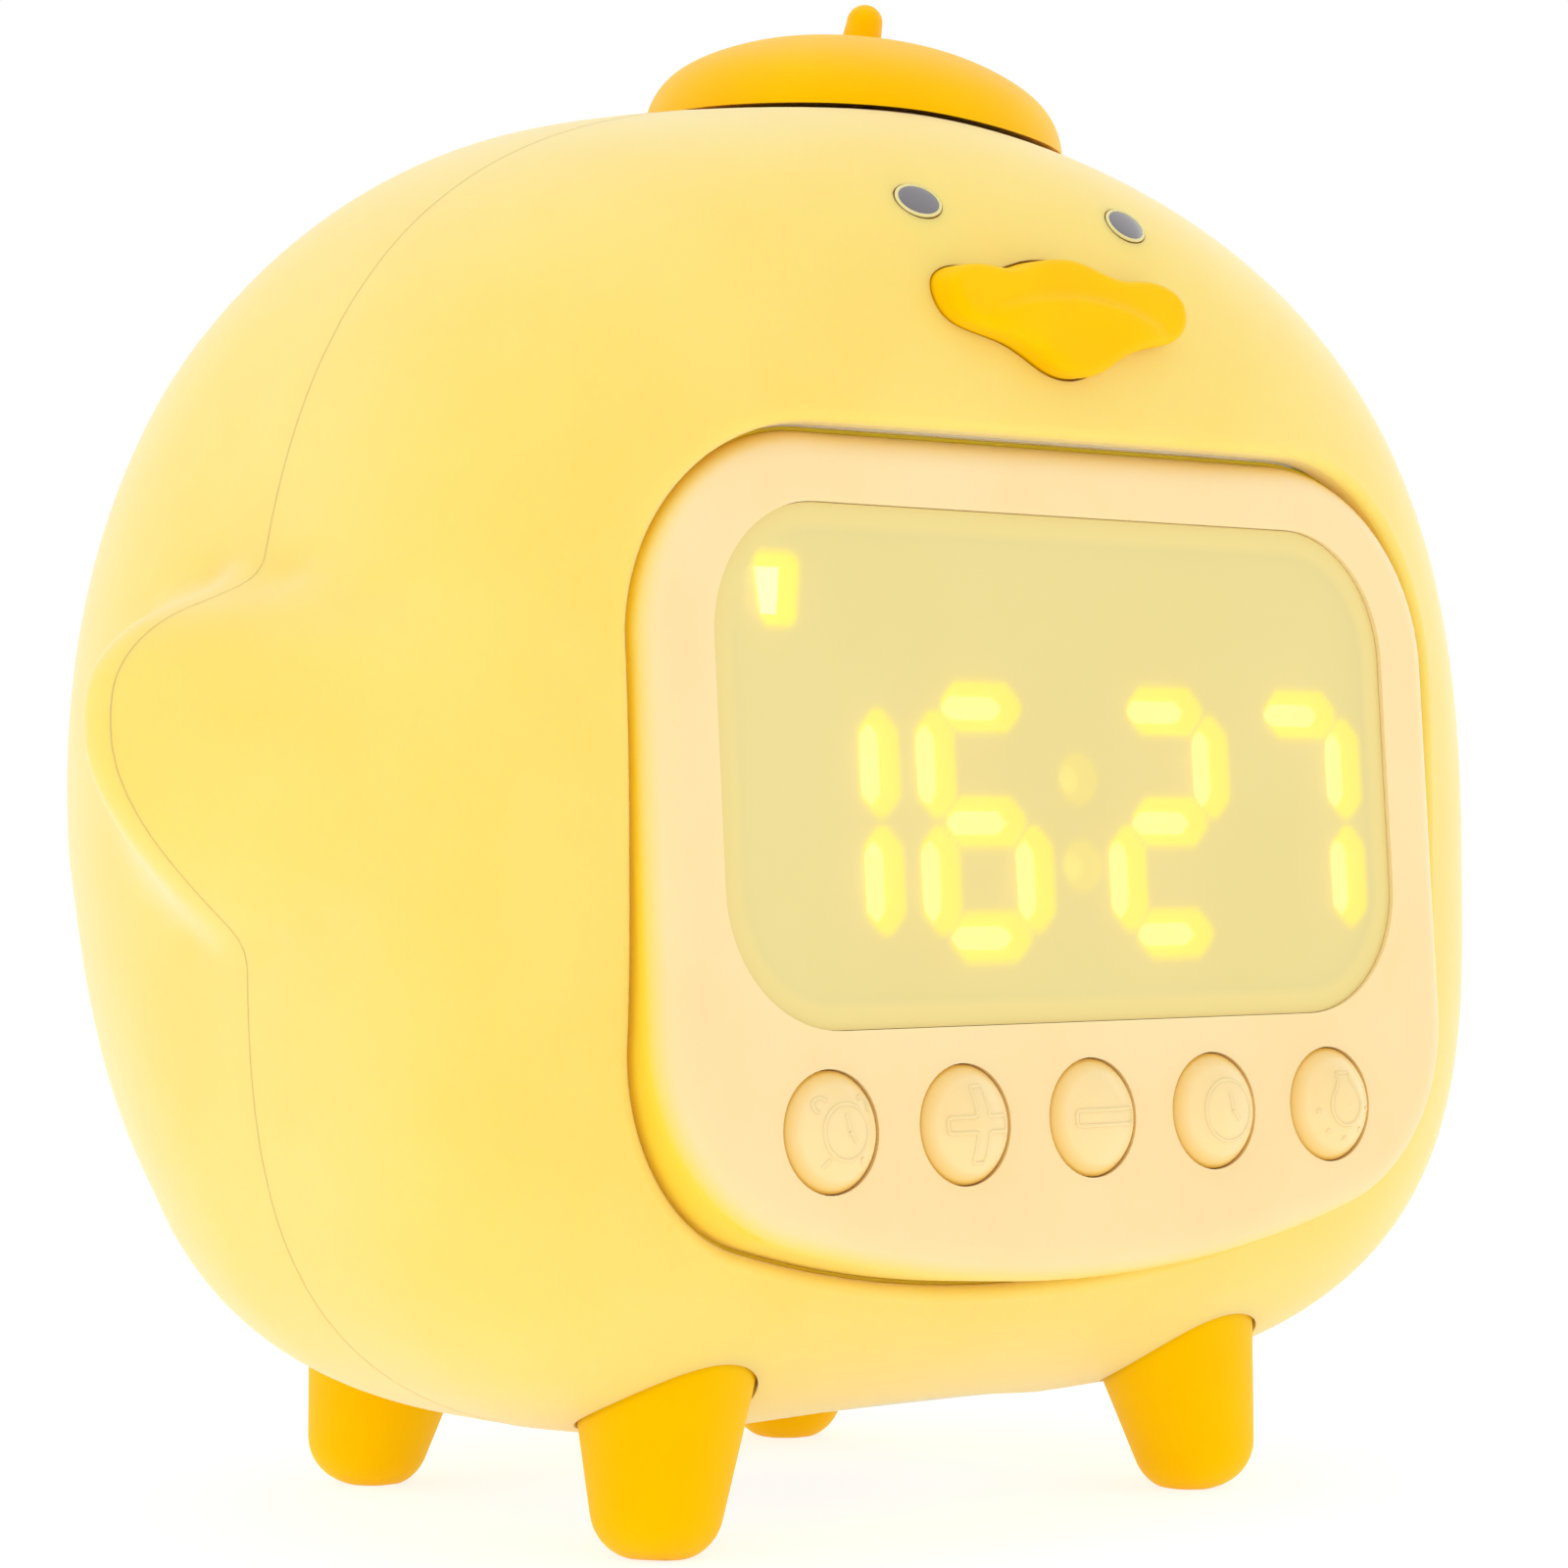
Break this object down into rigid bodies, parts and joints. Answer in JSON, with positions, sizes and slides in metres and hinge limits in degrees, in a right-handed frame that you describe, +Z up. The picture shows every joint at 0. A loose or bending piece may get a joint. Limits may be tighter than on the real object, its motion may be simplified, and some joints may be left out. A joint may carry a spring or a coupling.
{
  "type": "kids alarm clock with night light",
  "caption": "Chick-shaped bedside alarm clock with a soft glowing skin, a tilted beret press key, a digital display with push keys, four feet and a rear charging inlet.",
  "frame": {"origin": "on the table, under the middle of the whole clock in width and depth", "axes": "+Z up, +X to the right of someone facing the display, the display faces -Y"},
  "size_m": [0.1474, 0.0998, 0.1318],
  "materials": {
    "silicone_body": "soft satin silicone, pale yellow, translucent",
    "silicone_orange": "soft satin silicone, orange yellow",
    "core_plastic": "milky translucent moulding",
    "chassis_plastic": "moulded, matt",
    "bezel_plastic": "cream moulding, fine satin",
    "key_plastic": "cream moulding, soft gloss",
    "beret_plastic": "orange yellow moulding, satin",
    "lens_plastic": "milky translucent window",
    "lit_plastic": "glowing light pipe",
    "unlit_plastic": "dark light pipe",
    "eye_plastic": "dark grey moulding",
    "board": "green circuit board",
    "component_black": "moulded black",
    "led_white": "white LED",
    "battery_wrap": "shrink wrap",
    "steel": "plated steel",
    "wire_red": "insulated wire",
    "diffuser_plastic": "milky diffuser"
  },
  "bodies": {
    "body": {"silicone_skin": "silicone_body", "core_front_shell": "core_plastic", "core_rear_shell": "core_plastic", "chassis": "chassis_plastic", "base_cover": "chassis_plastic", "display_bezel": "bezel_plastic", "display_lens": "lens_plastic", "light_guide": "chassis_plastic", "lit_segments": "lit_plastic", "unlit_segments": "unlit_plastic", "colon_dots": "lit_plastic", "alarm_indicator": "lit_plastic", "front_board": "board", "segment_leds": "led_white", "tact_switches": "component_black", "top_board": "board", "snooze_switch": "component_black", "beak": "silicone_orange", "eyes": "eye_plastic", "speaker": "component_black", "speaker_ring": "chassis_plastic", "battery_cell": "battery_wrap", "battery_holder": "component_black", "main_board": "board", "main_chips": "component_black", "usb_socket": "steel", "port_frame": "bezel_plastic", "light_board": "board", "night_leds": "led_white", "light_diffuser": "diffuser_plastic", "core_screws": "steel", "foot_screws": "steel", "small_screws": "steel", "display_cable": "wire_red", "speaker_leads": "wire_red", "battery_leads": "wire_red", "foot_front_left": "silicone_orange", "foot_front_right": "silicone_orange", "foot_rear_left": "silicone_orange", "foot_rear_right": "silicone_orange"},
    "beret": {"beret_key": "beret_plastic", "beret_retainer": "chassis_plastic"},
    "key_alarm": {"key_alarm": "key_plastic"},
    "key_plus": {"key_plus": "key_plastic"},
    "key_minus": {"key_minus": "key_plastic"},
    "key_clock": {"key_clock": "key_plastic"},
    "key_light": {"key_light": "key_plastic"}
  },
  "joints": [
    {"name": "key_alarm_press", "type": "slide", "parent": "body", "child": "key_alarm", "axis": [0, 0.9975, -0.0711], "range_m": [0, 0.0006], "stiffness_N_per_m": 2500, "springref_m": -0.0003},
    {"name": "key_plus_press", "type": "slide", "parent": "body", "child": "key_plus", "axis": [0, 0.9975, -0.0711], "range_m": [0, 0.0006], "stiffness_N_per_m": 2500, "springref_m": -0.0003},
    {"name": "key_minus_press", "type": "slide", "parent": "body", "child": "key_minus", "axis": [0, 0.9975, -0.0711], "range_m": [0, 0.0006], "stiffness_N_per_m": 2500, "springref_m": -0.0003},
    {"name": "key_clock_press", "type": "slide", "parent": "body", "child": "key_clock", "axis": [0, 0.9975, -0.0711], "range_m": [0, 0.0006], "stiffness_N_per_m": 2500, "springref_m": -0.0003},
    {"name": "key_light_press", "type": "slide", "parent": "body", "child": "key_light", "axis": [0, 0.9975, -0.0711], "range_m": [0, 0.0006], "stiffness_N_per_m": 2500, "springref_m": -0.0003},
    {"name": "beret_press", "type": "slide", "parent": "body", "child": "beret", "axis": [-0.0681, 0.0571, -0.996], "range_m": [0, 0.0003], "stiffness_N_per_m": 6000, "springref_m": -0.0003}
  ]
}
